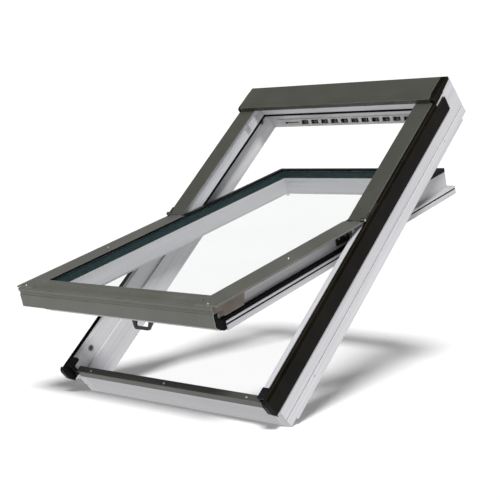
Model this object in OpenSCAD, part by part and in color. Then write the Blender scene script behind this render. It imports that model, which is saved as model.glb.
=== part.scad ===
// Centre-pivot roof window: a lacquered timber frame and sash with metal covers.
// X runs across the window, Y runs back into the roof and Z is up.
// The origin is the middle of the pivot axis. Each member is drawn in its own plane,
// where x is across, u is up the slope from the pivot axis and n is out of the roof.
// Depths are measured into the room from the pivot axis, so a depth is minus n.

/* [Opening] */
// Slope of the roof that the frame is laid in, degrees
roof_pitch = 45; // [20:1:65]
// Angle that the sash stands open by, degrees
open_angle = 28; // [0:1:60]

/* [Frame] */
// Overall width of the timber frame
frame_w = 780; // [550:10:1400]
// Overall length of the timber frame up the slope
frame_l = 1180; // [780:10:1600]
// Depth of the room faces of the side members
frame_depth = 150; // [145:1:175]
// Depth of the top faces of the frame timbers
frame_top = 10; // [10:0.5:13]
// Thickness of the side members beside the lower half of the sash
side_t = 27; // [24:1:40]
// Width of the small step on the inner faces of the side members
step_w = 6; // [3:1:8]
// Depth of that step
step_depth = 62; // [58:1:66]
// How far the stop lip of the upper half stands in from the side members
lip_reach = 30; // [28:1:34]
// Depth of the room side of the stop lip
lip_depth = 54; // [45:1:54]
// Thickness of the head member
head_t = 44; // [36:1:60]
// How far the stop lip of the head stands down the slope
head_lip = 32; // [30:1:36]
// Thickness of the sill member
sill_t = 42; // [38:1:48]
// Thickness of the outer upstand of the sill
upstand_t = 13; // [10:1:16]
// Depth of the top of the upstand
upstand_depth = 36; // [36:1:42]
// Depth of the inner step of the sill
sill_step_depth = 100; // [97:1:110]
// Bevel along the inner room edges
room_bevel = 8; // [3:1:10]
// How much shallower the corner joints and the cross members are
corner_rise = 8; // [4:1:10]
// Length of the corner joints
corner_l = 30; // [20:1:40]
// Distance of the bracket holes from the ends of the frame
bracket_hole_in = 150; // [60:10:300]
// Radius of the bracket screw holes
bracket_hole_r = 2.5; // [1.5:0.5:4]
// Length of the bracket screw holes
bracket_hole_l = 20; // [10:1:22]

/* [Sash] */
// Gap between the sash and the stop lips at the sides
side_gap = 3; // [2:0.5:5]
// Gap between the top rail and the lip of the head
head_gap = 4; // [3:0.5:6]
// Gap between the bottom rail and the upstand of the sill
sill_gap = 11; // [10:0.5:14]
// Depth of the room face of the sash
sash_depth = 93; // [90:1:94]
// Thickness of the outer wall of the sash members
wall_t = 12; // [9:1:16]
// Width of the ledge that carries the glass
glass_ledge = 13; // [8:1:20]
// How far the room-side flange stands out at the sides
flange_reach = 18; // [12:1:20]
// How far the room-side flange stands out at the top
flange_top_reach = 17; // [12:1:26]
// Thickness of the room-side flange
flange_t = 24.5; // [18:0.5:27]
// Width of the room face of the bottom rail
bottom_rail_w = 48; // [44:1:80]
// How far the bottom rail hangs over past the end of its flange
overhang = 45; // [40:1:56]
// Depth of the underside of that overhang
overhang_depth = 32; // [26:0.5:32]
// Bevel along the inner room edges of the sash
sash_bevel = 9; // [2:1:11]

/* [Glass] */
// Depth of the outer face of the glass
glass_depth = 10; // [9:0.5:12]
// Thickness of each pane
pane_t = 4; // [3:0.5:6]
// Width of the gap between the panes
pane_gap = 16; // [10:1:18]
// Clearance between the glass and the sash walls
glass_gap = 1.5; // [1:0.5:3]
// Width of the spacer between the panes
spacer_w = 10; // [6:1:12]

/* [Covers] */
// Thickness of the cover sheet
sheet = 1.5; // [0.8:0.1:2]
// Depth of the outer face of the side covers
cover_depth = 4; // [3:0.5:5]
// Width of the upper side covers
upper_cover_w = 59; // [50:1:62]
// How far the sash covers reach in over the glass
sash_cover_grip = 2.5; // [1:0.5:5]
// Half the amount the bottom cover is narrower than the side covers
bottom_inset = 12; // [8:1:14]
// Distance from the frame's side to the outer edge of the covers
cover_inset = 7; // [6:0.5:9]
// Gap on each side of the pivot axis between the covers
cover_gap = 2.5; // [1:0.5:4]
// Height of the hood above the pivot axis
hood_rise = 16; // [10:1:30]
// Length of the hood up the slope
hood_l = 112; // [95:1:125]
// Length of the front facet of the hood
hood_nose = 22; // [12:1:30]
// Height of the front skirt of the bottom cover
skirt_h = 34; // [28:1:40]
// How far the side cladding stands out past the frame
cladding_out = 7.5; // [4:0.5:12]
// Depth of the lower edge of the side cladding
cladding_depth = 70; // [50:1:90]
// How far the side cladding runs past the lower end of the frame
cladding_drop = 16; // [8:1:24]

/* [Hinges] */
// Radius of the pivot pins
pin_r = 4; // [3:0.5:4.5]
// Running clearance of the pins in the frame brackets
pin_clearance = 0.05; // [0.02:0.01:0.1]
// Thickness of the bracket ears
ear_t = 3.5; // [2.5:0.5:4]
// Radius of the bosses round the pins
boss_r = 6; // [6:0.5:7.5]

/* [Lock and vent] */
// Distance of the handle from the middle of the window
handle_x = 5; // [0:5:120]
// Width of the handle bow between its ears
bow_w = 88; // [70:2:110]
// Width of the grip of the bow
grip_w = 44; // [30:2:60]
// How far the bow stands out from its axis
bow_l = 32; // [24:1:34]
// Thickness of the bow
bow_t = 7; // [5:0.5:9]
// Lean of the unlocked bow towards the lower edge, degrees
bow_lean = 20; // [0:1:20]
// Travel of the latch tongue
tongue_travel = 9; // [7:0.5:9.5]
// Distance of the cleaning socket from the lower end of the frame
socket_in = 77; // [70:1:220]
// Depth of the cleaning socket
socket_depth = 32; // [24:1:44]
// Radius of the cleaning bolt
bolt_r = 4; // [3:0.5:5]
// Travel of the cleaning bolt
bolt_travel = 22; // [20:1:22]
// Distance between the vent slots
slot_pitch = 41.7; // [30:0.1:60]
// Number of vent slots
slot_count = 11; // [5:2:15]
// Height of the vent strip
vent_h = 28; // [22:1:30]

/* [Hidden] */
$fn = 48;
BIG = 2000;
TIMBER = [0.93, 0.93, 0.95];
COVER = [0.41, 0.41, 0.37];
DARK = [0.16, 0.13, 0.1];
RUBBER = [0.06, 0.06, 0.07];
METAL = [0.6, 0.6, 0.6];

// Frame, across
half_w = frame_w / 2;
half_l = frame_l / 2;
band_x = half_w - side_t;
low_x = band_x - step_w;
lip_x = band_x - lip_reach;
corner_depth = frame_depth - corner_rise;
bevel_floor = 0.3;
// The lip starts just past the pivot axis
lip_start = 6;
// Frame, up the slope
head_u = half_l - head_t;
head_lip_u = head_u - head_lip;
head_top = 5;
head_top_l = 55;
sill_u = half_l - sill_t;
upstand_u = half_l - upstand_t;
outer_groove_depth = 112;
outer_groove_w = 6;
outer_groove_cut = 3;
channel_x = half_w - 12;
channel_depth = 15;
bracket_hole_depth = 125;
bracket_hole_u = half_l - bracket_hole_in;

// Sash
sash_x = lip_x - side_gap;
flange_x = sash_x + flange_reach;
wall_x = sash_x - wall_t;
ledge_x = wall_x - glass_ledge;
flange_depth = sash_depth - flange_t;
top_u = head_lip_u - head_gap;
flange_groove_depth = flange_depth + 6;
top_wall_u = top_u - 10;
top_ledge_u = top_wall_u - glass_ledge;
flange_top_u = top_u + flange_top_reach;
rail_u = upstand_u - sill_gap;
rail_inner_u = rail_u - bottom_rail_w;
rail_wall_u = rail_u - 3;
overhang_u = rail_u + overhang;
lower_top = cover_depth + sheet;
upper_cover_sheet = 6;
upper_top = upper_cover_sheet + sheet;
trim_leg = 12;
trim_leg_t = 1.2;
flange_groove_t = 4.5;
flange_groove_cut = 2.5;

// Glass
glass_t = 2 * pane_t + pane_gap;
pane_x = wall_x - glass_gap;
pane_top_u = top_wall_u - glass_gap;
pane_low_u = rail_wall_u - glass_gap;
ledge_depth = glass_depth + glass_t;
gasket_w = 6;

// Covers
cover_x = half_w - cover_inset;
upper_cover_x = cover_x - upper_cover_w;
sash_cover_x = pane_x - sash_cover_grip;
bottom_x = cover_x - bottom_inset;
cover_lip = 3;
hood_u = half_l - hood_l;
hood_end_x = half_w - 12;
hood_back = 18;
hood_front_depth = cover_depth;
cover_end_u = overhang_u + 3;
front_u = overhang_u + 9;
bottom_cover_in = rail_wall_u - 6;
bottom_slope_u = bottom_cover_in + 33;
flange_stop = 9;
skirt_depth = cover_depth + 24 + skirt_h;
plate_x = band_x - 5;
block_x = plate_x - 2;
plate_end = rail_inner_u - 16;
plate_depth = 50;
cap_drop = 12;

// Hinges
frame_ear_x = cover_x + 1;
sash_ear_x = cover_x - 7;
pin_out = 1;
arm_depth = 6.3;
arm_t = 2.7;
foot_t = 1.2;
notch_side = 1.5;

// Lock and vent
base_t = 4;
handle_u = rail_inner_u + 6;
handle_depth = sash_depth + base_t + 7;
bow_end_r = 6;
shaft_r = 2.45;
tongue_w = 20;
tongue_t = 5;
tongue_out = 4;
tongue_depth = flange_depth + 6;
keeper_depth = tongue_depth - 4;
bolt_depth = sash_depth - flange_t / 2;
socket_u = half_l - socket_in;
bolt_u = sqrt(socket_u * socket_u + socket_depth * socket_depth - bolt_depth * bolt_depth);
bolt_rest_x = flange_x - 2;
bolt_l = bolt_rest_x - wall_x;
bolt_knob_x = wall_x + 4.5;
socket_len = 12;
socket_clearance = 1;
slot_w = 29;
slot_h = 19;
vent_half = slot_pitch * (slot_count - 1) / 2 + 116;
vent_low = corner_depth - 8;
vent_high = vent_low - vent_h;
vent_mid = (vent_low + vent_high) / 2;
grille_t = 3;
shutter_t = 1.5;
shutter_gap = 0.5;
screw_r = 3.5;
screw_h = 1;

// ---------- placing ----------

// Lays a member in the plane of the frame
module in_frame() {
    rotate([roof_pitch, 0, 0]) children();
}

// Lays a member in the plane of the open sash
module in_sash() {
    rotate([roof_pitch - open_angle, 0, 0]) children();
}

// A block between two values of x, of u and of depth
module block(x0, x1, u0, u1, deep, shallow) {
    translate([x0, u0, -deep]) cube([x1 - x0, u1 - u0, deep - shallow]);
}

// Runs a section drawn in x and n up the slope
module along_u(u0, u1) {
    translate([0, u1, 0]) rotate([90, 0, 0]) linear_extrude(u1 - u0) children();
}

// Runs a section drawn in u and n across the window
module along_x(x0, x1) {
    translate([x0, 0, 0]) rotate([90, 0, 90]) linear_extrude(x1 - x0) children();
}

// Draws a right-hand piece, or its mirror image
module on_side(left) {
    if (left) mirror([1, 0, 0]) children();
    else children();
}

// A round bar along x
module bar_x(x0, x1, u, depth, r) {
    translate([x0, u, -depth]) rotate([0, 90, 0]) cylinder(h = x1 - x0, r = r);
}

// A round bar along n, from one depth up to a shallower one
module bar_n(x, u, deep, shallow, r) {
    translate([x, u, -deep]) cylinder(h = deep - shallow, r = r);
}

// ---------- frame timber ----------

// Section of a side member beside the lower half of the sash
module low_section() {
    polygon([
        [band_x, -frame_top], [channel_x, -frame_top], [channel_x, -channel_depth],
        [half_w, -channel_depth], [half_w, -frame_depth],
        [low_x + room_bevel, -frame_depth], [low_x, -frame_depth + room_bevel],
        [low_x, -step_depth], [band_x, -step_depth]
    ]);
}

// Section of a side member beside the upper half, with its stop lip
module high_section() {
    polygon([
        [lip_x, -frame_top], [channel_x, -frame_top], [channel_x, -channel_depth],
        [half_w, -channel_depth], [half_w, -frame_depth],
        [low_x + room_bevel, -frame_depth], [low_x, -frame_depth + room_bevel],
        [low_x, -lip_depth], [lip_x, -lip_depth]
    ]);
}

module frame_side(left) {
    color(TIMBER) in_frame() on_side(left) difference() {
        union() {
            along_u(-half_l, lip_start) low_section();
            along_u(lip_start, half_l) high_section();
            block(lip_x, half_w, half_l - head_top_l, half_l, channel_depth, head_top);
        }
        // Corner joints are shallower than the members
        for (end = [-1, 1])
            block(0, half_w + 1, end > 0 ? half_l - corner_l : -half_l - 1,
                end > 0 ? half_l + 1 : -half_l + corner_l, frame_depth + 1, corner_depth);
        // The head and its lip are let in at the top
        block(0, low_x + bevel_floor, head_u, half_l + 1, frame_depth + 1, 0);
        block(0, low_x, head_lip_u, half_l + 1, frame_depth + 1, 0);
        // Longitudinal groove for the underlay
        block(half_w - outer_groove_cut, half_w + 1, -half_l - 1, half_l + 1,
            outer_groove_depth + outer_groove_w, outer_groove_depth);
        // Seat of the end cap
        block(0, half_w + 1, -half_l - 1, -half_l + 24, 20, 0);
        // Screw holes for the mounting brackets
        for (u = [-bracket_hole_u, bracket_hole_u])
            bar_x(half_w - bracket_hole_l, half_w + 1, u, bracket_hole_depth, bracket_hole_r);
        if (left) {
            bar_x(band_x - 1, band_x + socket_len, -socket_u, socket_depth, bolt_r + 4);
            bar_x(low_x - 1, low_x + socket_len, bolt_u, bolt_depth, bolt_r + 4);
        }
    }
}

module frame_head() {
    color(TIMBER) in_frame() difference() {
        along_x(-low_x, low_x) polygon([
            [head_lip_u, -frame_top], [half_l - head_top_l, -frame_top],
            [half_l - head_top_l, -head_top], [half_l, -head_top],
            [half_l, -corner_depth], [head_u, -corner_depth],
            [head_u, -lip_depth], [head_lip_u, -lip_depth]
        ]);
        // Air channel behind the vent strip
        block(4 - vent_half, vent_half - 4, head_u - 1, head_u + 16, vent_low - 3, vent_high + 3);
    }
}

module frame_sill() {
    color(TIMBER) in_frame() along_x(-low_x, low_x) polygon([
        [-half_l, -upstand_depth], [-upstand_u, -upstand_depth],
        [-upstand_u, -sill_step_depth], [-sill_u, -sill_step_depth],
        [-sill_u, -corner_depth + room_bevel], [-sill_u - room_bevel, -corner_depth],
        [-half_l, -corner_depth]
    ]);
}

// ---------- frame covers ----------

// Folded sheet that wraps the outer top corner of a side member
module side_cladding(left) {
    inner = half_w - 1;
    ridge = half_w + cladding_out;
    color(DARK) in_frame() on_side(left) difference() {
        along_u(-half_l - cladding_drop, half_l - 65) difference() {
            polygon([
                [inner, -frame_top + 2], [inner + 3, -frame_top + 2], [ridge, -channel_depth - 3],
                [ridge - 3, -cladding_depth], [half_w + bevel_floor, -cladding_depth],
                [half_w + bevel_floor, -channel_depth], [inner, -channel_depth]
            ]);
            polygon([
                [inner + sheet, -frame_top + 2 - sheet], [inner + 3, -frame_top + 2 - sheet],
                [ridge - sheet, -channel_depth - 3.5], [ridge - 3 - sheet, -cladding_depth + sheet],
                [half_w + bevel_floor + sheet, -cladding_depth + sheet],
                [half_w + bevel_floor + sheet, -channel_depth]
            ]);
        }
        // The hood end sits here
        block(0, half_w + 50, hood_u - 2, half_l, 21, -BIG);
    }
}

module side_gasket(left) {
    color(RUBBER) in_frame() on_side(left)
        along_u(-half_l + 25, half_l - 70) polygon([
            [channel_x + 0.5, -channel_depth], [half_w - 2, -channel_depth],
            [half_w - 2, -frame_top - 2.5], [half_w - 5, -frame_top - 1],
            [channel_x + 0.5, -frame_top - 2.5]
        ]);
}

// Notch that leaves room for the boss of a hinge arm
module boss_notch(up) {
    u0 = up ? -1 : -boss_r - 2;
    u1 = up ? boss_r + 2 : 1;
    block(sash_ear_x - notch_side, sash_ear_x + ear_t + notch_side, u0, u1, BIG, -BIG);
}

// Feet that carry an upper cover on the timber
module cover_feet(u0, u1, count) {
    for (i = [0 : count - 1])
        block(lip_x + 6, lip_x + 30, u0 + (u1 - u0 - 40) * i / (count - 1),
            u0 + (u1 - u0 - 40) * i / (count - 1) + 40, frame_top, lower_top);
}

module upper_cover(left) {
    color(COVER) in_frame() on_side(left) difference() {
        union() {
            along_u(cover_gap, hood_u + 30) polygon([
                [upper_cover_x, -cover_depth], [cover_x, -cover_depth],
                [cover_x, -lower_top - cover_lip], [cover_x - sheet, -lower_top - cover_lip],
                [cover_x - sheet, -lower_top], [upper_cover_x, -lower_top]
            ]);
            cover_feet(90, hood_u, 3);
        }
        boss_notch(true);
        // Room for the foot of the hinge bracket
        block(cover_x - 2, cover_x + 1, 0, 76, BIG, frame_top - foot_t - 0.6);
    }
}

// Outline of the hood in u and n
function hood_outline(t) = [
    [hood_u + t, -hood_front_depth], [hood_u + t, hood_rise - 5 - t * 0.8],
    [hood_u + hood_nose, hood_rise - t], [half_l - hood_back, hood_rise - t],
    [half_l + 2 - t, t > 0 ? -2 : -1], [half_l + 2 - t, -40]
];

module top_hood() {
    color(COVER) in_frame() {
        along_x(-hood_end_x, hood_end_x) polygon(concat(
            hood_outline(0),
            [for (i = [5 : -1 : 0]) hood_outline(sheet)[i]]
        ));
        // Ribs that carry the hood on the head
        for (x = [-hood_end_x + 60, 0, hood_end_x - 60])
            block(x - 3, x + 3, half_l - head_top_l + 4, half_l - 22, head_top, sheet - hood_rise);
    }
}

// Dark end piece that closes the hood and turns down over the side member
module hood_end(left) {
    color(DARK) in_frame() on_side(left) difference() {
        hull() {
            along_x(hood_end_x, hood_end_x + 0.5) polygon([
                [hood_u, -hood_front_depth], [hood_u, hood_rise - 5],
                [hood_u + hood_nose, hood_rise], [half_l - hood_back, hood_rise],
                [half_l + 1, 0], [half_l + 1, -hood_front_depth]
            ]);
            along_x(half_w + 0.8, half_w + 1.8) polygon([
                [hood_u, -14], [hood_u, 5], [hood_u + 10, 8], [half_l - 40, 8],
                [half_l - 3, 3.5], [half_l - 5, -hood_front_depth]
            ]);
        }
        block(-BIG, half_w + bevel_floor, -BIG, half_l - head_top_l - bevel_floor, BIG, frame_top - 0.3);
        block(-BIG, half_w + bevel_floor, half_l - head_top_l - 1, BIG, BIG, head_top - 0.3);
        block(-BIG, cover_x + 0.5, -BIG, hood_u + 31, BIG, cover_depth - 0.3);
    }
}

// Metal angle on the upstand of the sill
module sill_profile() {
    inner = -upstand_u;
    outer = -half_l - 7;
    top = -upstand_depth + sheet;
    color(COVER) in_frame() along_x(-plate_x - 1.5, plate_x + 1.5) polygon([
        [inner, top], [outer, top], [outer, top - 24], [outer + 3, top - 25.5],
        [outer + 3, top - 24], [outer + sheet, top - 23.5], [outer + sheet, -upstand_depth],
        [inner, -upstand_depth]
    ]);
}

module sill_screws() {
    color(METAL) in_frame()
        for (x = [-1, 0, 1])
            bar_n(x * (half_w - 88), -half_l + 2, upstand_depth - sheet,
                upstand_depth - sheet - screw_h, screw_r);
}

// Black moulding that closes the lower end of a side member
module end_cap(left) {
    x0 = plate_x + 2;
    u0 = -half_l - 10;
    u1 = -half_l + 24 - bevel_floor;
    top = frame_top - 0.5;
    u2 = -half_l - cladding_drop;
    color(RUBBER) in_frame() on_side(left) {
        // Plug over the seat in the timber
        difference() {
            block(x0, half_w - 4, u0, u1, 49, top);
            block(0, half_w, -half_l - bevel_floor, BIG, 50, 20 - bevel_floor);
            block(x0 + 5, half_w - 9, u0 - 1, -half_l - 3, 44, top + 4);
        }
        // Plate over the end of the cladding
        difference() {
            along_x(half_w - 5, half_w + cladding_out + 1) polygon([
                [u2, -7], [u2 - cap_drop + 3, -12], [u2 - cap_drop, -20], [u2 - cap_drop, -48],
                [u2, -cladding_depth - 3]
            ]);
            block(0, half_w - 1, u2 + 4, BIG, BIG, -BIG);
        }
        // Web between the plug and the plate
        block(half_w - 5, half_w - 2, u2 - 1, u0 + 1, 49, top);
    }
}

// Black seal on the room side of the stop lips
module frame_seal() {
    outer_x = lip_x + 11;
    outer_u = head_lip_u + 11;
    color(RUBBER) in_frame() difference() {
        block(-outer_x, outer_x, lip_start, outer_u, lip_depth + 10, lip_depth);
        block(-lip_x - 1, lip_x + 1, 0, head_lip_u + 1, BIG, 0);
    }
}

// ---------- hinges ----------

// Fixed half of a pivot hinge, screwed to the frame
module hinge_bracket(left) {
    x1 = frame_ear_x + ear_t;
    color(METAL) in_frame() on_side(left) difference() {
        union() {
            block(band_x + 4, x1, 8, 74, frame_top, frame_top - foot_t);
            bar_x(frame_ear_x, x1, 0, 0, boss_r);
            block(frame_ear_x, x1, 0, 30, frame_top, 1);
            block(frame_ear_x, x1, -boss_r + 2, 8, frame_top, 0);
        }
        bar_x(frame_ear_x - 1, x1 + 1, 0, 0, pin_r + pin_clearance);
    }
}

// Moving half of a pivot hinge, screwed to the sash
module hinge_arm(left) {
    x1 = sash_ear_x + ear_t;
    color(METAL) in_sash() on_side(left) difference() {
        union() {
            bar_x(sash_ear_x, x1, 0, 0, boss_r);
            block(sash_ear_x, x1, -24, 0, arm_depth + arm_t, arm_depth - 4);
            block(sash_x, x1, -46, -14, arm_depth + arm_t, arm_depth);
            block(sash_x, sash_x + ear_t, -72, -14, 52, arm_depth);
        }
        bar_x(sash_ear_x - 1, x1 + 1, 0, 0, pin_r);
        // The cover lies over the outer part of the arm
        block(0, x1 + 1, -80, -boss_r - 1.9, lower_top + 0.2, -BIG);
        bar_x(sash_x - 1, sash_x + ear_t + 1, -58, 36, 2.2);
        bar_x(sash_x - 1, sash_x + ear_t + 1, -28, 36, 2.2);
    }
}

module hinge_pin(left) {
    color(METAL) in_sash() on_side(left)
        bar_x(sash_ear_x - pin_out, frame_ear_x + ear_t + pin_out, 0, 0, pin_r);
}

// ---------- sash timber ----------

// Section of a sash side member; top is the depth of its top face
module sash_section(top) {
    polygon([
        [wall_x, -top], [sash_x, -top], [sash_x, -flange_depth], [flange_x, -flange_depth],
        [flange_x, -sash_depth], [ledge_x + sash_bevel, -sash_depth],
        [ledge_x, -sash_depth + sash_bevel], [ledge_x, -ledge_depth], [wall_x, -ledge_depth]
    ]);
}

module sash_side(left) {
    color(TIMBER) in_sash() on_side(left) difference() {
        union() {
            along_u(-rail_u, 0) sash_section(lower_top);
            along_u(0, flange_top_u) sash_section(upper_top);
        }
        // The rails are let in between the sides
        block(0, wall_x, top_ledge_u, BIG, BIG, -BIG);
        block(0, sash_x + 1, top_u, BIG, flange_depth, -BIG);
        block(0, wall_x, -BIG, -rail_inner_u, BIG, -BIG);
        // The flange ends short of the lower end
        block(sash_x, BIG, -BIG, -rail_u + flange_stop, BIG, 0);
        // Groove in the side of the flange
        block(flange_x - flange_groove_cut, BIG, -BIG, BIG,
            flange_groove_depth + flange_groove_t, flange_groove_depth);
        if (left) {
            bar_x(wall_x - 1, flange_x + 1, bolt_u, bolt_depth, bolt_r + 0.1);
            block(bolt_knob_x - 2.3, bolt_knob_x + bolt_travel + 2.3, bolt_u - 2.1, bolt_u + 2.1,
                sash_depth + 1, bolt_depth);
        }
    }
}

module sash_top_rail() {
    color(TIMBER) in_sash() along_x(-wall_x, wall_x) polygon([
        [top_wall_u, -upper_top], [top_u, -upper_top], [top_u, -flange_depth],
        [flange_top_u, -flange_depth], [flange_top_u, -sash_depth],
        [top_ledge_u + sash_bevel, -sash_depth], [top_ledge_u, -sash_depth + sash_bevel],
        [top_ledge_u, -ledge_depth], [top_wall_u, -ledge_depth]
    ]);
}

module sash_bottom_rail() {
    color(TIMBER) in_sash() {
        difference() {
            along_x(-wall_x, wall_x) polygon([
                [-rail_wall_u, -lower_top], [-rail_u, -lower_top], [-rail_u, -sash_depth],
                [-rail_inner_u - sash_bevel, -sash_depth], [-rail_inner_u, -sash_depth + sash_bevel],
                [-rail_inner_u, -ledge_depth], [-rail_wall_u, -ledge_depth]
            ]);
            // Pocket of the latch tongue
            block(handle_x - tongue_w / 2 - 0.5, handle_x + tongue_w / 2 + 0.5,
                -rail_u - 1, -rail_u + 24, tongue_depth + tongue_t + 0.5, tongue_depth - 0.5);
        }
        // Part that hangs over the upstand of the sill
        along_x(-block_x, block_x) polygon([
            [-rail_u, -lower_top], [-bottom_slope_u, -lower_top], [-overhang_u, -lower_top - 2],
            [-overhang_u, -overhang_depth], [-rail_u, -overhang_depth]
        ]);
    }
}

// ---------- glass ----------

module pane(depth) {
    block(-pane_x, pane_x, -pane_low_u, pane_top_u, depth + pane_t, depth);
}

module outer_pane() {
    color([0.6, 0.75, 0.75, 0.3]) in_sash() pane(glass_depth);
}

module inner_pane() {
    color([0.6, 0.75, 0.75, 0.3]) in_sash() pane(glass_depth + pane_t + pane_gap);
}

module glass_spacer() {
    inset = 1.5;
    wide = inset + spacer_w;
    deep = glass_depth + pane_t + pane_gap;
    color([0.08, 0.14, 0.14]) in_sash() difference() {
        block(inset - pane_x, pane_x - inset, inset - pane_low_u, pane_top_u - inset,
            deep, glass_depth + pane_t);
        block(wide - pane_x, pane_x - wide, wide - pane_low_u, pane_top_u - wide, BIG, -BIG);
    }
}

module glazing_gasket() {
    deep = glass_depth;
    color(RUBBER) in_sash() difference() {
        union() {
            block(-pane_x, pane_x, -pane_low_u, -cover_gap, deep, lower_top + 0.2);
            block(-pane_x, pane_x, -cover_gap, pane_top_u, deep, upper_top);
        }
        block(gasket_w - pane_x, pane_x - gasket_w, gasket_w - pane_low_u,
            pane_top_u - gasket_w, BIG, -BIG);
    }
}

// ---------- sash covers ----------

module sash_cover(left) {
    color(COVER) in_sash() on_side(left) difference() {
        along_u(-cover_end_u, -cover_gap) polygon([
            [sash_cover_x, -cover_depth], [cover_x - 1, -cover_depth], [cover_x, -cover_depth - 1],
            [cover_x, -lower_top - cover_lip], [cover_x - sheet, -lower_top - cover_lip],
            [cover_x - sheet, -lower_top], [sash_cover_x, -lower_top]
        ]);
        boss_notch(false);
    }
}

// Line of the bottom cover in u and n, with its ridge, its nose and the groove below it
function bottom_line(t) = [
    [-bottom_cover_in, -cover_depth - t],
    [-bottom_cover_in - 22, -cover_depth - t], [-bottom_cover_in - 25, -cover_depth + 2 - t],
    [-bottom_cover_in - 30, -cover_depth + 2 - t], [-bottom_slope_u, -cover_depth - t],
    [-overhang_u, -cover_depth - 2 - t], [-front_u + 6 + t / 2, -cover_depth - 1 - t],
    [-front_u + 1.5 + t, -cover_depth - 3 - t / 2], [-front_u + t, -cover_depth - 6],
    [-front_u + t, -cover_depth - 11], [-front_u + 3 + t, -cover_depth - 14],
    [-front_u + 3 + t, -cover_depth - 20.5], [-front_u + 1 + t, -cover_depth - 24],
    [-front_u + 1 + t, -skirt_depth + t]
];

module bottom_cover() {
    last = len(bottom_line(0)) - 1;
    inner = [for (i = [last : -1 : 0]) bottom_line(sheet)[i]];
    color(COVER) in_sash() difference() {
        along_x(-bottom_x, bottom_x) polygon(concat(
            bottom_line(0),
            [[-front_u + 9, -skirt_depth], [-front_u + 9, -skirt_depth + sheet]],
            inner
        ));
        // The side covers lie on the corners, so the corners are cut down
        for (side = [-1, 1])
            block(side > 0 ? sash_cover_x - 0.5 : -BIG, side > 0 ? BIG : 0.5 - sash_cover_x,
                -cover_end_u - 0.5, BIG, BIG, -BIG);
    }
}

// Narrow trim over the glass edge beside the upper half of the sash
module trim_side(left) {
    color(COVER) in_sash() on_side(left)
        along_u(cover_gap + 1, top_u) polygon([
            [sash_cover_x, -upper_cover_sheet], [sash_x + trim_leg_t, -upper_cover_sheet],
            [sash_x + trim_leg_t, -upper_cover_sheet - trim_leg],
            [sash_x, -upper_cover_sheet - trim_leg], [sash_x, -upper_top],
            [sash_cover_x, -upper_top]
        ]);
}

module trim_top() {
    color(COVER) in_sash() along_x(-sash_cover_x, sash_cover_x) polygon([
        [pane_top_u - gasket_w + 2, -upper_top], [pane_top_u - gasket_w + 2, -upper_cover_sheet],
        [top_u, -upper_cover_sheet], [top_u, -upper_top]
    ]);
}

// Moulded piece that closes a lower corner beside the bottom rail
module corner_piece(left) {
    low = lower_top + cover_lip;
    color([0.5, 0.46, 0.44]) in_sash() on_side(left) {
        difference() {
            along_x(sash_x, plate_x) polygon([
                [-rail_u, -low], [-rail_u, -plate_depth], [-plate_end + 6, -plate_depth],
                [-plate_end + 20, -low]
            ]);
            along_x(sash_x - 1, plate_x - 3) polygon([
                [-rail_u + 3, -low - 3], [-rail_u + 3, -plate_depth - 1], [-plate_end, -plate_depth - 1],
                [-plate_end + 14, -low - 3]
            ]);
        }
        block(block_x, plate_x, -overhang_u, -rail_u + 2, overhang_depth, low);
    }
}

// Black seals of the sash: on the flange beside the lower half, along the bottom rail,
// at the top end, and in the grooves of the flange
module sash_seal() {
    outer_x = flange_x - 3;
    inner = 0.5;
    color(RUBBER) in_sash() {
        difference() {
            block(-outer_x, outer_x, -rail_u - 2.5, 0, flange_depth, flange_depth - 7.5);
            block(-sash_x - inner, sash_x + inner, -rail_u, BIG, BIG, -BIG);
            block(3 - wall_x, wall_x - 3, -BIG, BIG, BIG, -BIG);
        }
        block(3 - sash_x, sash_x - 3, top_u, top_u + 4, flange_depth, flange_depth - 14);
        // The left groove stays open beside the cleaning bolt
        for (side = [-1, 1])
            block(side > 0 ? flange_x - flange_groove_cut : 0.5 - flange_x,
                side > 0 ? flange_x - 0.5 : flange_groove_cut - flange_x,
                -rail_u + flange_stop, side > 0 ? flange_top_u : bolt_u - 8,
                flange_groove_depth + flange_groove_t, flange_groove_depth);
        // Run along the front of the bottom rail, and down over the ends of the sides
        block(-sash_x - inner, sash_x + inner, -rail_u - 2.5, -rail_u, 56, overhang_depth + 2);
        for (side = [-1, 1])
            block(side > 0 ? wall_x + 1 : -sash_x - inner, side > 0 ? sash_x + inner : -wall_x - 1,
                -rail_u - 2.5, -rail_u, sash_depth - 5, 40);
        // Blocks that fill the ends of the flange
        for (side = [-1, 1])
            block(side > 0 ? sash_x : -outer_x, side > 0 ? outer_x : -sash_x,
                -rail_u - 2.5, -rail_u + flange_stop, sash_depth - 3, flange_depth);
    }
}

module cover_screws() {
    color(METAL) in_sash()
        for (x = [-1, 1], u = [-cover_end_u + 8, -half_l / 2])
            bar_n(x * (cover_x - 33), u, cover_depth, cover_depth - screw_h, screw_r);
}

// ---------- lock ----------

module handle_base() {
    ear = bow_w / 2 + 0.5;
    color(DARK) in_sash() difference() {
        union() {
            block(handle_x - ear - 11, handle_x + ear + 11, -handle_u - 9, -handle_u + 9,
                sash_depth + base_t, sash_depth);
            for (x = [handle_x - ear - 6, handle_x + ear]) {
                bar_x(x, x + 6, -handle_u, handle_depth, 6);
                block(x, x + 6, -handle_u - 6, -handle_u + 6, handle_depth, sash_depth + 1);
            }
        }
        bar_x(handle_x - ear - 7, handle_x + ear + 7, -handle_u, handle_depth,
            shaft_r + pin_clearance);
    }
}

// One pair of round corners of the bow, at a distance from the axis
module bow_corners(half, y, r) {
    for (side = [-1, 1]) translate([side * half, y]) circle(r);
}

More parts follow.
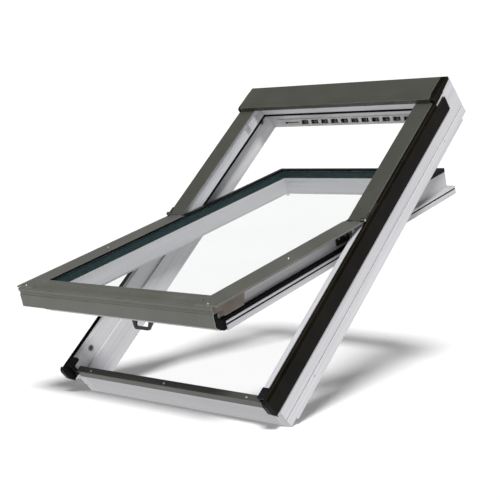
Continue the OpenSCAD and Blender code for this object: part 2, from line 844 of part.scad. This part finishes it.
// Bowed lever on a turned shaft
module handle_lever() {
    color(DARK) in_sash() translate([handle_x, -handle_u, -handle_depth]) {
        rotate([0, 90, 0]) cylinder(h = bow_w + 13, r = shaft_r, center = true);
        rotate([90 - bow_lean, 0, 0]) linear_extrude(bow_t, center = true) difference() {
            hull() {
                bow_corners(bow_w / 2 - bow_end_r, 0, bow_end_r);
                bow_corners(grip_w / 2, 8 - bow_l, 8);
            }
            hull() {
                bow_corners(bow_w / 2 - 21, -7, 2);
                bow_corners(grip_w / 2 - 2, 13 - bow_l, 4);
            }
        }
    }
}

module latch_tongue() {
    color(METAL) in_sash() {
        block(handle_x - tongue_w / 2, handle_x + tongue_w / 2, -rail_u + 1, -rail_u + 15,
            tongue_depth + tongue_t, tongue_depth);
    }
}

// Keeper that the tongue slides under when the window is locked
module striker_plate() {
    wide = tongue_w / 2 + 12;
    color(METAL) in_frame() {
        block(handle_x - wide, handle_x + wide, -upstand_u, -upstand_u + 2,
            tongue_depth + 16, keeper_depth - 8);
        block(handle_x - wide + 8, handle_x + wide - 8, -upstand_u + 2, -upstand_u + 5.5,
            keeper_depth, keeper_depth - 3);
    }
}

// Bolt that holds the turned sash for cleaning, with its knob
module cleaning_bolt() {
    color(METAL) in_sash() mirror([1, 0, 0]) {
        bar_x(bolt_rest_x - bolt_l, bolt_rest_x, bolt_u, bolt_depth, bolt_r);
        bar_n(bolt_knob_x, bolt_u, sash_depth + 6, bolt_depth + 2, 1.8);
        bar_n(bolt_knob_x, bolt_u, sash_depth + 10, sash_depth + 0.5, 5);
    }
}

// One bush, let into the face at x
module bush(x, u, depth) {
    difference() {
        union() {
            bar_x(x, x + socket_len, u, depth, bolt_r + 4);
            bar_x(x - 1, x, u, depth, bolt_r + 5.5);
        }
        bar_x(x - 2, x + socket_len - 1, u, depth, bolt_r + socket_clearance);
    }
}

// Bushes in the left side member: one takes the bolt when the sash is turned for
// cleaning, the other when the sash is shut
module bolt_socket() {
    color([0.5, 0.46, 0.48]) in_frame() mirror([1, 0, 0]) {
        bush(band_x, -socket_u, socket_depth);
        bush(low_x, bolt_u, bolt_depth);
    }
}

// ---------- head fittings ----------

// One slanted slot of the vent, drawn in x and n about the middle of the strip
module slot_shape(wide) {
    polygon([
        [-wide / 2 - 3, -slot_h / 2], [wide / 2 - 3, -slot_h / 2],
        [wide / 2 + 3, slot_h / 2], [-wide / 2 + 3, slot_h / 2]
    ]);
}

// The row of slots between two values of u
module slot_row(u0, u1, wide) {
    for (i = [0 : slot_count - 1])
        translate([(i - (slot_count - 1) / 2) * slot_pitch, u1, -vent_mid])
            rotate([90, 0, 0]) linear_extrude(u1 - u0) slot_shape(wide);
}

module vent_grille() {
    color([0.82, 0.83, 0.83]) in_frame() difference() {
        block(-vent_half, vent_half, head_u - grille_t, head_u, vent_low, vent_high);
        slot_row(head_u - grille_t - 1, head_u + 1, slot_w);
        // Slot that the knob of the shutter runs in
        block(-vent_half + 30, -vent_half + 60 + slot_w, head_u - grille_t - 1, head_u + 1,
            vent_mid + 2.5, vent_mid - 2.5);
    }
}

// Perforated slide behind the grille
module vent_shutter() {
    u0 = head_u + shutter_gap;
    knob_x = -vent_half + 36;
    color([0.35, 0.35, 0.35]) in_frame() {
        difference() {
            block(-vent_half + 10, vent_half - 32, u0, u0 + shutter_t, vent_low - 4, vent_high + 4);
            slot_row(u0 - 1, u0 + shutter_t + 1, slot_pitch - slot_w);
        }
        block(knob_x - 3, knob_x + 3, head_u - grille_t - 3, u0, vent_mid + 2, vent_mid - 2);
    }
}

module head_screws() {
    color(METAL) in_frame()
        for (x = [-101, 101])
            translate([x, head_lip_u, -38]) rotate([90, 0, 0]) cylinder(h = screw_h, r = 3);
}

// Small metal plates that guide the sash at the stop lips
module guide_plates() {
    u = head_lip_u - 106;
    color(METAL) in_frame()
        for (side = [-1, 1])
            block(side > 0 ? lip_x - 1 : -lip_x, side > 0 ? lip_x : 1 - lip_x, u, u + 22, 46, 24);
}

frame_side(true);  // frame_side_left
frame_side(false);  // frame_side_right
frame_head();
frame_sill();
side_cladding(true);  // side_cladding_left
side_cladding(false);  // side_cladding_right
side_gasket(true);  // side_gasket_left
side_gasket(false);  // side_gasket_right
upper_cover(true);  // upper_cover_left
upper_cover(false);  // upper_cover_right
top_hood();
hood_end(true);  // hood_end_left
hood_end(false);  // hood_end_right
sill_profile();
sill_screws();
end_cap(true);  // end_cap_left
end_cap(false);  // end_cap_right
frame_seal();
hinge_bracket(true);  // hinge_bracket_left
hinge_bracket(false);  // hinge_bracket_right
vent_grille();
vent_shutter();
head_screws();
bolt_socket();
striker_plate();
guide_plates();
sash_side(true);  // sash_side_left
sash_side(false);  // sash_side_right
sash_top_rail();
sash_bottom_rail();
outer_pane();
inner_pane();
glass_spacer();
glazing_gasket();
sash_cover(true);  // sash_cover_left
sash_cover(false);  // sash_cover_right
bottom_cover();
trim_side(true);  // trim_left
trim_side(false);  // trim_right
trim_top();
corner_piece(true);  // corner_piece_left
corner_piece(false);  // corner_piece_right
sash_seal();
hinge_arm(true);  // hinge_arm_left
hinge_arm(false);  // hinge_arm_right
hinge_pin(true);  // hinge_pin_left
hinge_pin(false);  // hinge_pin_right
cover_screws();
handle_base();
handle_lever();
latch_tongue();
cleaning_bolt();
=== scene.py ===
"""Looks of the centre-pivot roof window: materials, small fittings, light and camera.

Metres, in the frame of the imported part: X across, Y back into the roof, Z up, origin on the
pivot axis. Places on a member are given as (x, u, n): u up its slope and n out of its plane.
"""

import math

import bmesh
import bpy
from mathutils import Matrix, Vector


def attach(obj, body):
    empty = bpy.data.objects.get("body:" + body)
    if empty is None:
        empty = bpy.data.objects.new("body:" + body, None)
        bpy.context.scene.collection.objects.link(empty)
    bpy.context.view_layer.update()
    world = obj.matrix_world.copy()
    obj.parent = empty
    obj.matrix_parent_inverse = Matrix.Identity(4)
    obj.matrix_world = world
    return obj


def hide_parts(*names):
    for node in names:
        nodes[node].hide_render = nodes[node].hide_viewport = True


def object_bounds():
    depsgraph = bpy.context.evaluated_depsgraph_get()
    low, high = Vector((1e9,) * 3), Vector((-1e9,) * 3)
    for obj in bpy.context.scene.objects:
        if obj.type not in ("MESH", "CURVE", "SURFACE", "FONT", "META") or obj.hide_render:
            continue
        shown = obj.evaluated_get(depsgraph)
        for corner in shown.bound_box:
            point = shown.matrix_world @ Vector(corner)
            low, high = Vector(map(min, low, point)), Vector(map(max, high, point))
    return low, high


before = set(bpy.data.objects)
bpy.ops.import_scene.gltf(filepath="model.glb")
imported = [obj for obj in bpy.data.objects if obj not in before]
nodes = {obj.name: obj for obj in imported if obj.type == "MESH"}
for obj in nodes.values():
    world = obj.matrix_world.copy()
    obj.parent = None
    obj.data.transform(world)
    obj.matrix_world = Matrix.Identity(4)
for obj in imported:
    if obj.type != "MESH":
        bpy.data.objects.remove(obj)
cad_low, cad_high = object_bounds()
scene = bpy.context.scene

FRAME_PITCH = math.radians(45)
SASH_PITCH = math.radians(17)

# Samples of every bevel node
BEVEL_SAMPLES = 4

# Painted highlights on the sharp edges: how wide, how strong, and between which turns of the face
# they fade
EDGE_HIGHLIGHT_RADIUS = 0.0022
EDGE_HIGHLIGHT_SHARE = 0.75
EDGE_HIGHLIGHT_SHARP, EDGE_HIGHLIGHT_FLAT = 0.80, 0.985

# ---------- node helpers ----------


def new_material(name):
    mat = bpy.data.materials.new(name)
    mat.use_nodes = True
    tree = mat.node_tree
    return mat, tree, tree.nodes["Principled BSDF"]


def add(tree, kind, **values):
    """Adds a node; values set its inputs by name, or its properties if it has no such input."""
    node = tree.nodes.new(kind)
    for key, value in values.items():
        name = key.replace("_", " ")
        match = [s for s in node.inputs if s.name.lower() == name.lower()]
        if match:
            match[0].default_value = value
        else:
            setattr(node, key, value)
    return node


def coordinates(tree, pitch=0.0, stretch=(1, 1, 1)):
    """Object coordinates turned into the plane of a member, then stretched."""
    place = add(tree, "ShaderNodeTexCoord")
    turn = add(tree, "ShaderNodeMapping")
    turn.inputs["Rotation"].default_value = (-pitch, 0, 0)
    scale = add(tree, "ShaderNodeMapping")
    scale.inputs["Scale"].default_value = stretch
    tree.links.new(place.outputs["Object"], turn.inputs["Vector"])
    tree.links.new(turn.outputs["Vector"], scale.inputs["Vector"])
    return scale.outputs["Vector"]


def noise(tree, vector, scale, detail, roughness):
    node = add(tree, "ShaderNodeTexNoise", scale=scale, detail=detail, roughness=roughness)
    tree.links.new(vector, node.inputs["Vector"])
    return node.outputs["Fac"]


def ramp(tree, factor, stops):
    """A colour ramp through (position, colour) stops."""
    node = add(tree, "ShaderNodeValToRGB")
    points = node.color_ramp.elements
    while len(points) < len(stops):
        points.new(0.5)
    for point, (position, colour) in zip(points, stops):
        point.position = position
        point.color = (*colour, 1) if len(colour) == 3 else (colour[0],) * 3 + (1,)
    tree.links.new(factor, node.inputs["Fac"])
    return node.outputs["Color"]


def bumps(tree, shader, heights, edge):
    """Chains bumps of (height, strength, distance); edge is the radius that softens the edges."""
    soft = add(tree, "ShaderNodeBevel", samples=BEVEL_SAMPLES, radius=edge)
    normal = soft.outputs["Normal"]
    for height, strength, distance in heights:
        bump = add(tree, "ShaderNodeBump", strength=strength, distance=distance)
        tree.links.new(height, bump.inputs["Height"])
        tree.links.new(normal, bump.inputs["Normal"])
        normal = bump.outputs["Normal"]
    tree.links.new(normal, shader.inputs["Normal"])


def painted_edge_highlight(tree, colour, lighter):
    """Painted highlight: lightens a colour along the sharp edges, where the coating catches
    light.
    """
    soft = add(tree, "ShaderNodeBevel", samples=BEVEL_SAMPLES, radius=EDGE_HIGHLIGHT_RADIUS)
    flat = add(tree, "ShaderNodeNewGeometry")
    dot = add(tree, "ShaderNodeVectorMath", operation="DOT_PRODUCT")
    tree.links.new(soft.outputs["Normal"], dot.inputs[0])
    tree.links.new(flat.outputs["Normal"], dot.inputs[1])
    edge = ramp(tree, dot.outputs["Value"], [(EDGE_HIGHLIGHT_SHARP, (EDGE_HIGHLIGHT_SHARE,)), (EDGE_HIGHLIGHT_FLAT, (0.0,))])
    mix = add(tree, "ShaderNodeMix", data_type="RGBA")
    tree.links.new(edge, mix.inputs["Factor"])
    tree.links.new(colour, mix.inputs[6])
    mix.inputs[7].default_value = (*lighter, 1)
    return mix.outputs[2]


# ---------- materials ----------

# Repeats per metre (along, across) of the fine grain and of the wide bands under the lacquer
GRAIN = (3, 190)
BANDS = (0.8, 26)
LACQUER_SHADES = [
    (0.32, (0.42, 0.425, 0.45)),
    (0.47, (0.54, 0.54, 0.565)),
    (0.66, (0.64, 0.64, 0.65)),
]
LACQUER_EDGE = 0.0018
SKIN_SCALE = 900.0
SKIN_EDGE = 0.0010
PLATED_EDGE = 0.0006


def drawn_out(along, repeats):
    """Repeats (along, across) turned into a stretch along x or along the slope."""
    slow, quick = repeats
    return (slow, quick, quick) if along == "x" else (quick, slow, quick)


def lacquer(name, pitch, along, tone):
    """White lacquer on timber; the grain runs along x or along the slope, tone scales it to paint
    light and shade onto this copy.
    """
    mat, tree, shader = new_material(name)
    grain = noise(tree, coordinates(tree, pitch, drawn_out(along, GRAIN)), 1.0, 4.0, 0.7)
    bands = noise(tree, coordinates(tree, pitch, drawn_out(along, BANDS)), 1.0, 3.0, 0.5)
    mix = add(tree, "ShaderNodeMath", operation="ADD")
    tree.links.new(grain, mix.inputs[0])
    tree.links.new(bands, mix.inputs[1])
    half = add(tree, "ShaderNodeMath", operation="MULTIPLY")
    tree.links.new(mix.outputs[0], half.inputs[0])
    half.inputs[1].default_value = 0.5
    # tone scales the shades: above 1 it is painted light, below 1 painted shade
    shades = [(at, tuple(tone * c for c in rgb)) for at, rgb in LACQUER_SHADES]
    colour = ramp(tree, half.outputs[0], shades)
    tree.links.new(colour, shader.inputs["Base Color"])
    gloss = ramp(tree, bands, [(0.3, (0.30,)), (0.7, (0.44,))])
    tree.links.new(gloss, shader.inputs["Roughness"])
    shader.inputs["Coat Weight"].default_value = 0.25
    shader.inputs["Coat Roughness"].default_value = 0.2
    bumps(tree, shader, [(grain, 0.25, 0.0003), (bands, 0.15, 0.0008)], LACQUER_EDGE)
    return mat


def coated_sheet(name, dark, light, roughness, coat, edge=0.0012, edge_highlight=None, specular=0.5):
    """Painted metal sheet with a faint mottle, a fine texture and a painted highlight along its
    sharp edges.
    """
    mat, tree, shader = new_material(name)
    mottle = noise(tree, coordinates(tree), 9.0, 4.0, 0.6)
    grit = noise(tree, coordinates(tree), 1400.0, 2.0, 0.5)
    colour = ramp(tree, mottle, [(0.3, dark), (0.7, light)])
    # The lighter colour along the sharp edges is a painted highlight
    if edge_highlight:
        colour = painted_edge_highlight(tree, colour, edge_highlight)
    tree.links.new(colour, shader.inputs["Base Color"])
    gloss = ramp(tree, mottle, [(0.3, (roughness - 0.04,)), (0.7, (roughness + 0.05,))])
    tree.links.new(gloss, shader.inputs["Roughness"])
    shader.inputs["Specular IOR Level"].default_value = specular
    shader.inputs["Coat Weight"].default_value = coat
    shader.inputs["Coat Roughness"].default_value = 0.12
    bumps(tree, shader, [(grit, 0.12, 0.0002)], edge)
    return mat


def moulding(name, dark, light, roughness):
    """Rubber or moulded plastic with a fine skin."""
    mat, tree, shader = new_material(name)
    patch = noise(tree, coordinates(tree), 30.0, 3.0, 0.5)
    skin = noise(tree, coordinates(tree), SKIN_SCALE, 2.0, 0.6)
    colour = ramp(tree, patch, [(0.3, dark), (0.7, light)])
    tree.links.new(colour, shader.inputs["Base Color"])
    gloss = ramp(tree, skin, [(0.3, (roughness - 0.06,)), (0.7, (roughness + 0.08,))])
    tree.links.new(gloss, shader.inputs["Roughness"])
    shader.inputs["Specular IOR Level"].default_value = 0.08
    bumps(tree, shader, [(skin, 0.2, 0.0003)], SKIN_EDGE)
    return mat


def plated_steel(name, dark, light, roughness):
    """Zinc-plated steel with fine brushing."""
    mat, tree, shader = new_material(name)
    brush = noise(tree, coordinates(tree, 0.0, (40, 900, 900)), 1.0, 3.0, 0.6)
    colour = ramp(tree, brush, [(0.3, dark), (0.7, light)])
    tree.links.new(colour, shader.inputs["Base Color"])
    gloss = ramp(tree, brush, [(0.3, (roughness - 0.08,)), (0.7, (roughness + 0.08,))])
    tree.links.new(gloss, shader.inputs["Roughness"])
    shader.inputs["Metallic"].default_value = 1.0
    bumps(tree, shader, [(brush, 0.08, 0.0002)], PLATED_EDGE)
    return mat


def clear_glass(name):
    """Clear float glass: nearly all of it shows what is behind."""
    mat, tree, shader = new_material(name)
    haze = noise(tree, coordinates(tree), 3.0, 2.0, 0.5)
    tint = ramp(tree, haze, [(0.3, (0.10, 0.16, 0.15)), (0.7, (0.13, 0.19, 0.18))])
    tree.links.new(tint, shader.inputs["Base Color"])
    shader.inputs["Roughness"].default_value = 0.02
    shader.inputs["Alpha"].default_value = 0.035
    return mat


def floor_paint():
    """Matt near-white paint of the studio floor."""
    mat, tree, shader = new_material("studio_floor")
    tone = noise(tree, coordinates(tree), 0.6, 2.0, 0.5)
    colour = ramp(tree, tone, [(0.3, (0.94, 0.94, 0.94)), (0.7, (0.97, 0.97, 0.97))])
    tree.links.new(colour, shader.inputs["Base Color"])
    shader.inputs["Roughness"].default_value = 0.9
    shader.inputs["Specular IOR Level"].default_value = 0.0
    return mat


# One white lacquer in copies: the head is lighter as painted light; the frame sides, the sill and
# the sash are darker as painted shade
frame_long = lacquer("lacquer_frame_long", FRAME_PITCH, "u", 0.95)
head_cross = lacquer("lacquer_head", FRAME_PITCH, "x", 1.2)
sill_cross = lacquer("lacquer_sill", FRAME_PITCH, "x", 0.82)
sash_long = lacquer("lacquer_sash_long", SASH_PITCH, "u", 0.86)
sash_cross = lacquer("lacquer_sash_cross", SASH_PITCH, "x", 0.86)
# Frame covers, hood and sill profile: the same coated sheet as the sash covers, darker as painted
# shade; the lighter edge colour is a painted highlight
cover = coated_sheet(
    "cover_sheet", (0.046, 0.048, 0.038), (0.058, 0.060, 0.049), roughness=0.40, coat=0.05,
    edge_highlight=(0.26, 0.27, 0.24), specular=0.35)
# Sash covers: the same coated sheet as the frame covers, lighter as painted light; the lighter
# edge colour is a painted highlight
sash_cover = coated_sheet(
    "sash_cover_sheet", (0.066, 0.068, 0.055), (0.092, 0.094, 0.079), roughness=0.36, coat=0.1,
    edge_highlight=(0.36, 0.37, 0.34))
trim = coated_sheet(
    "trim_sheet", (0.003, 0.004, 0.004), (0.007, 0.008, 0.008), roughness=0.4, coat=0.0,
    specular=0.1)
# The lighter edge colour of the dark sheet is a painted highlight
dark = coated_sheet(
    "dark_sheet", (0.0025, 0.0025, 0.0015), (0.009, 0.0065, 0.004), roughness=0.25, coat=0.0,
    edge_highlight=(0.07, 0.06, 0.045), specular=0.05)
rubber = moulding("seal_rubber", (0.002, 0.002, 0.003), (0.005, 0.005, 0.006), 0.6)
black = moulding("black_moulding", (0.006, 0.006, 0.007), (0.012, 0.012, 0.013), 0.38)
brown = moulding("brown_moulding", (0.17, 0.145, 0.125), (0.22, 0.19, 0.17), 0.5)
bush = moulding("bush_moulding", (0.16, 0.13, 0.14), (0.21, 0.18, 0.19), 0.45)
spacer = moulding("spacer_metal", (0.005, 0.018, 0.021), (0.008, 0.025, 0.029), 0.35)
vent = moulding("vent_moulding", (0.55, 0.54, 0.52), (0.68, 0.67, 0.65), 0.4)
vent_dark = moulding("vent_slide_moulding", (0.010, 0.010, 0.010), (0.016, 0.016, 0.016), 0.5)
steel = plated_steel("plated_steel", (0.50, 0.50, 0.49), (0.68, 0.68, 0.66), 0.3)
iron = coated_sheet(
    "dark_fitting", (0.012, 0.012, 0.013), (0.022, 0.022, 0.023), roughness=0.35, coat=0.2,
    edge=0.0008)
glass = clear_glass("clear_glass")

# Nodes that are not listed are plated steel
LOOKS = {
    "frame_side_left": frame_long, "frame_side_right": frame_long,
    "frame_head": head_cross, "frame_sill": sill_cross,
    "sash_side_left": sash_long, "sash_side_right": sash_long,
    "sash_top_rail": sash_cross, "sash_bottom_rail": sash_cross,
    "upper_cover_left": cover, "upper_cover_right": cover, "top_hood": cover,
    "sash_cover_left": sash_cover, "sash_cover_right": sash_cover, "bottom_cover": sash_cover,
    "sill_profile": cover, "trim_left": trim, "trim_right": trim, "trim_top": trim,
    "side_cladding_left": dark, "side_cladding_right": dark,
    "hood_end_left": dark, "hood_end_right": dark,
    "side_gasket_left": rubber, "side_gasket_right": rubber, "frame_seal": rubber,
    "sash_seal": rubber, "glazing_gasket": rubber,
    "end_cap_left": black, "end_cap_right": black,
    "corner_piece_left": brown, "corner_piece_right": brown, "bolt_socket": bush,
    "outer_pane": glass, "inner_pane": glass, "glass_spacer": spacer,
    "vent_grille": vent, "vent_shutter": vent_dark,
    "hinge_arm_left": iron, "hinge_arm_right": iron, "handle_base": iron, "handle_lever": iron,
    "hinge_bracket_left": iron, "hinge_bracket_right": iron,
}
for name, obj in nodes.items():
    look = LOOKS.get(name, steel)
    obj.data.materials.clear()
    obj.data.materials.append(look)

# ---------- small fittings ----------

SCREW_SIDES = 32
# Shares of a head's radius and height, from its foot to the flat that holds the recess
DOME = [(1.0, 0.0), (1.0, 0.35), (0.93, 0.62), (0.74, 0.86), (0.45, 0.98)]
RECESS_ARM, RECESS_WAIST = 0.40, 0.14
RECESS_TAPER, RECESS_LEVEL = 0.92, 0.35
# How far a head sinks into what it stands on
HEAD_SINK = 0.0005
ARM_HEAD_SINK = 0.0004
ARM_HEAD_RADIUS, ARM_HEAD_HEIGHT = 0.0042, 0.0014
# Each next head of a row is turned by this much, in radians, so that no two recesses line up
SPIN_STEP, SPIN_START = 0.7, 0.3
WELD_DISTANCE = 1e-6


def on_member(pitch, x, u, n):
    """Where (x, u, n) of a member lies, in the part's frame."""
    return Vector((x, u * math.cos(pitch) - n * math.sin(pitch),
                   u * math.sin(pitch) + n * math.cos(pitch)))


def screw_head(name, radius, height, place, outward, spin):
    """A domed head with a cross recess, standing on its place."""
    mesh = bmesh.new()
    angles = [2 * math.pi * i / SCREW_SIDES for i in range(SCREW_SIDES)]
    loops = []
    for share, level in DOME:
        loops.append([mesh.verts.new((radius * share * math.cos(angle),
                                      radius * share * math.sin(angle),
                                      height * level)) for angle in angles])
    # The recess is a sunken cross in the flat of the dome
    mouth = []
    for angle in angles:
        in_arm = abs(math.cos(2 * angle)) > 0.8
        reach = radius * (RECESS_ARM if in_arm else RECESS_WAIST)
        mouth.append(mesh.verts.new((reach * math.cos(angle), reach * math.sin(angle),
                                     height * DOME[-1][1])))
    deep = [mesh.verts.new((v.co.x * RECESS_TAPER, v.co.y * RECESS_TAPER, height * RECESS_LEVEL))
            for v in mouth]
    loops += [mouth, deep]
    for outer, inner in zip(loops, loops[1:]):
        for i in range(SCREW_SIDES):
            j = (i + 1) % SCREW_SIDES
            mesh.faces.new((outer[i], outer[j], inner[j], inner[i]))
    mesh.faces.new(deep)
    mesh.faces.new(list(reversed(loops[0])))
    data = bpy.data.meshes.new(name)
    mesh.to_mesh(data)
    mesh.free()
    for face in data.polygons:
        face.use_smooth = len(face.vertices) == 4
    data.materials.append(steel)
    obj = bpy.data.objects.new(name, data)
    scene.collection.objects.link(obj)
    turn = outward.to_track_quat("Z", "Y").to_matrix().to_4x4()
    data.transform(Matrix.Translation(place) @ turn @ Matrix.Rotation(spin, 4, "Z"))
    data.update()
    return obj


def centre_of_solids(node):
    """The centre of each separate solid of a CAD node."""
    mesh = bmesh.new()
    mesh.from_mesh(nodes[node].data)
    bmesh.ops.remove_doubles(mesh, verts=mesh.verts, dist=WELD_DISTANCE)
    left = set(mesh.verts)
    centres = []
    while left:
        stack = [left.pop()]
        found = []
        while stack:
            vert = stack.pop()
            found.append(vert.co.copy())
            for edge in vert.link_edges:
                other = edge.other_vert(vert)
                if other in left:
                    left.discard(other)
                    stack.append(other)
        low = Vector(map(min, zip(*found)))
        high = Vector(map(max, zip(*found)))
        centres.append((low + high) / 2)
    mesh.free()
    return sorted(centres, key=lambda c: (c.x, c.y))


def screws(node, body, pitch, radius, height, facing=(0, 1)):
    """Replaces a node of plain discs with screw heads; facing is their (u, n) direction."""
    outward = on_member(pitch, 0, *facing)
    heads = []
    for i, centre in enumerate(centre_of_solids(node)):
        base = centre - outward * HEAD_SINK
        spin = SPIN_STEP * i + SPIN_START
        heads.append(screw_head(f"{node}_{i}", radius, height, base, outward, spin))
    bpy.ops.object.select_all(action="DESELECT")
    for head in heads:
        head.select_set(True)
    bpy.context.view_layer.objects.active = heads[0]
    bpy.ops.object.join()
    joined = heads[0]
    joined.name = f"{node}_heads"
    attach(joined, body)
    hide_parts(node)


screws("sill_screws", "frame", FRAME_PITCH, radius=0.0035, height=0.0016)
screws("cover_screws", "sash", SASH_PITCH, radius=0.0045, height=0.0020)
screws("head_screws", "frame", FRAME_PITCH, radius=0.0030, height=0.0014, facing=(-1, 0))

# Two screws hold each hinge arm to the sash, at these (u, n); they sit in its holes
ARM_SCREWS = [(-0.058, -0.036), (-0.028, -0.036)]
# Below this u an arm is only the plate that lies against the sash
ARM_PLATE_U = -0.060
for side, hand in ((1, "right"), (-1, "left")):
    arm = nodes[f"hinge_arm_{hand}"].data
    plate = [v.co.x for v in arm.vertices
             if v.co.y * math.cos(SASH_PITCH) + v.co.z * math.sin(SASH_PITCH) < ARM_PLATE_U]
    face = max(plate) if side > 0 else min(plate)
    for i, (u, n) in enumerate(ARM_SCREWS):
        place = on_member(SASH_PITCH, face - side * ARM_HEAD_SINK, u, n)
        outward = Vector((side, 0, 0))
        head = screw_head(f"arm_screw_{hand}_{i}", ARM_HEAD_RADIUS, ARM_HEAD_HEIGHT,
                          place, outward, 0.5 + i)
        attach(head, "sash")

# ---------- studio ----------

SIZE = 60.0
# The floor lies this far under the lowest point of the part
FLOOR_DROP = 0.0005
LEVEL = cad_low.z - FLOOR_DROP
SKY_STRENGTH = 1.25
BACKDROP_STRENGTH = 1.05
# Brightness of the sky against height, from 0 straight down to 1 straight up
SKY_TONES = [(0.30, (1.0,)), (0.50, (0.52,)), (0.62, (0.22,))]

floor_mesh = bpy.data.meshes.new("studio_floor")
floor_mesh.from_pydata(
    [(-SIZE, -SIZE, LEVEL), (SIZE, -SIZE, LEVEL), (SIZE, SIZE, LEVEL), (-SIZE, SIZE, LEVEL)],
    [], [(0, 1, 2, 3)])
floor_mesh.materials.append(floor_paint())
floor = bpy.data.objects.new("studio_floor", floor_mesh)
scene.collection.objects.link(floor)
floor.visible_diffuse = False
floor.visible_glossy = False

world = bpy.data.worlds.new("studio")
world.use_nodes = True
scene.world = world
sky = world.node_tree
background = sky.nodes["Background"]
background.inputs["Strength"].default_value = SKY_STRENGTH
# The sky itself lights from below, because the floor gives no light to the part
direction = add(sky, "ShaderNodeTexCoord")
height = add(sky, "ShaderNodeSeparateXYZ")
shift = add(sky, "ShaderNodeMath", operation="MULTIPLY_ADD")
shift.inputs[1].default_value = 0.5
shift.inputs[2].default_value = 0.5
sky.links.new(direction.outputs["Generated"], height.inputs[0])
sky.links.new(height.outputs["Z"], shift.inputs[0])
tone = ramp(sky, shift.outputs[0], SKY_TONES)
sky.links.new(tone, background.inputs["Color"])
backdrop = add(sky, "ShaderNodeBackground")
backdrop.inputs["Color"].default_value = (1, 1, 1, 1)
backdrop.inputs["Strength"].default_value = BACKDROP_STRENGTH
path = add(sky, "ShaderNodeLightPath")
choose = add(sky, "ShaderNodeMixShader")
sky.links.new(path.outputs["Is Camera Ray"], choose.inputs["Fac"])
sky.links.new(background.outputs["Background"], choose.inputs[1])
sky.links.new(backdrop.outputs["Background"], choose.inputs[2])
sky.links.new(choose.outputs["Shader"], sky.nodes["World Output"].inputs["Surface"])


def sun(name, azimuth, elevation, strength, angle):
    """A sun of angle degrees across, shining from azimuth, counted from the front (-Y) towards
    +X.
    """
    a, e = math.radians(azimuth), math.radians(elevation)
    source = Vector((math.sin(a) * math.cos(e), -math.cos(a) * math.cos(e), math.sin(e)))
    light = bpy.data.lights.new(name, "SUN")
    light.energy = strength
    light.angle = math.radians(angle)
    obj = bpy.data.objects.new(name, light)
    scene.collection.objects.link(obj)
    obj.rotation_mode = "QUATERNION"
    obj.rotation_quaternion = source.to_track_quat("Z", "Y")
    obj.location = source * 5


sun("key", azimuth=41, elevation=46, strength=3.6, angle=14)

# ---------- camera ----------

AZIMUTH, ELEVATION, ROLL = math.radians(39.57), math.radians(3.24), math.radians(-0.07)
DISTANCE = 3.2929
target = Vector((0.1564, 0.0, -0.0487))
back = Vector((math.sin(AZIMUTH) * math.cos(ELEVATION),
               -math.cos(AZIMUTH) * math.cos(ELEVATION),
               math.sin(ELEVATION)))
lens = bpy.data.cameras.new("camera")
lens.sensor_width = 36.0
lens.lens = 82.53
lens.shift_x = -0.10
lens.shift_y = -0.03
lens.clip_start, lens.clip_end = 0.05, 300.0
camera = bpy.data.objects.new("camera", lens)
scene.collection.objects.link(camera)
camera.rotation_mode = "QUATERNION"
camera.location = target + back * DISTANCE
aim = (-back).to_track_quat("-Z", "Y")
camera.rotation_quaternion = aim @ Matrix.Rotation(ROLL, 3, "Z").to_quaternion()
scene.camera = camera
scene.view_settings.view_transform = "Standard"
scene.view_settings.look = "None"
